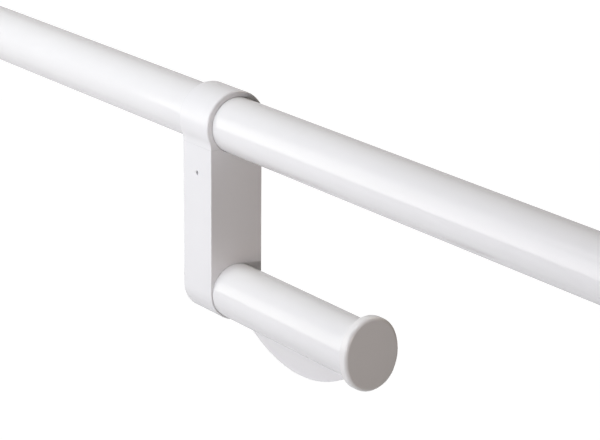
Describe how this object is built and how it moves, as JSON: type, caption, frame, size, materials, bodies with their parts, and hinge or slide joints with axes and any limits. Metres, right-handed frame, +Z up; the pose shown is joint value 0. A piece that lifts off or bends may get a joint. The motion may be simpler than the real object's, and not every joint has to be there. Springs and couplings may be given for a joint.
{
  "type": "wall rail with roll hanger",
  "caption": "Straight wall rail on clamp supports, with a clamp-on hanger that slides and swivels and carries a flanged roll spindle with a sprung brake leaf.",
  "frame": {"origin": "on the wall plane, at the middle of the four wall screw holes, level with the rail's axis", "axes": "+X along the rail towards the open end of the spindle, +Y into the wall, +Z up"},
  "size_m": [1, 0.1, 0.1675],
  "materials": {
    "rail_nylon": "glossy extruded nylon, white",
    "white_nylon": "satin gloss moulded nylon, white",
    "cap_nylon": "satin moulded nylon, white",
    "core_steel": "bright drawn steel",
    "zinc_steel": "zinc plated steel",
    "root_alloy": "turned aluminium",
    "brass": "turned brass",
    "liner_plastic": "matt grey plastic",
    "spring_steel": "spring steel wire"
  },
  "bodies": {
    "rail": {"rail_sleeve": "rail_nylon", "rail_core": "core_steel", "rail_end_caps": "white_nylon", "support_arm_left": "white_nylon", "support_arm_right": "white_nylon", "support_strap_left": "white_nylon", "support_strap_right": "white_nylon", "wall_plate_left": "zinc_steel", "wall_plate_right": "zinc_steel", "arm_inserts": "brass", "plate_screws": "zinc_steel", "strap_inserts": "brass", "strap_screws": "zinc_steel"},
    "cover_left": {"rosette_left": "white_nylon"},
    "cover_right": {"rosette_right": "white_nylon"},
    "liner": {"clamp_liner": "liner_plastic"},
    "hanger": {"hanger_strap": "white_nylon", "hanger_arm": "white_nylon", "hanger_core": "core_steel", "hanger_strap_insert": "brass", "hanger_strap_screw": "zinc_steel", "spindle_tube": "rail_nylon", "spindle_root": "root_alloy", "spindle_bolt": "zinc_steel", "spindle_washer": "zinc_steel", "spindle_dowel": "zinc_steel", "bolt_cover": "white_nylon", "flange_cap": "cap_nylon", "brake_pin": "zinc_steel", "brake_spring": "spring_steel", "spring_seat": "liner_plastic"},
    "brake": {"brake_leaf": "white_nylon"}
  },
  "joints": [
    {"name": "hanger_slide", "type": "slide", "parent": "rail", "child": "liner", "axis": [1, 0, 0], "range_m": [-0.38, 0.38]},
    {"name": "hanger_swivel", "type": "hinge", "parent": "liner", "child": "hanger", "pos_m": [0, -0.08, 0], "axis": [-1, 0, 0], "range_deg": [-30, 90]},
    {"name": "brake_press", "type": "hinge", "parent": "hanger", "child": "brake", "pos_m": [0.025, -0.08, -0.1095], "axis": [0, -1, 0], "range_deg": [0, 11], "stiffness_Nm_per_rad": 0.6, "springref_deg": -14.32, "deforming": ["brake_spring"]},
    {"name": "cover_left_slide", "type": "slide", "parent": "rail", "child": "cover_left", "axis": [0, -1, 0], "range_m": [0, 0.04]},
    {"name": "cover_right_slide", "type": "slide", "parent": "rail", "child": "cover_right", "axis": [0, -1, 0], "range_m": [0, 0.04]}
  ]
}
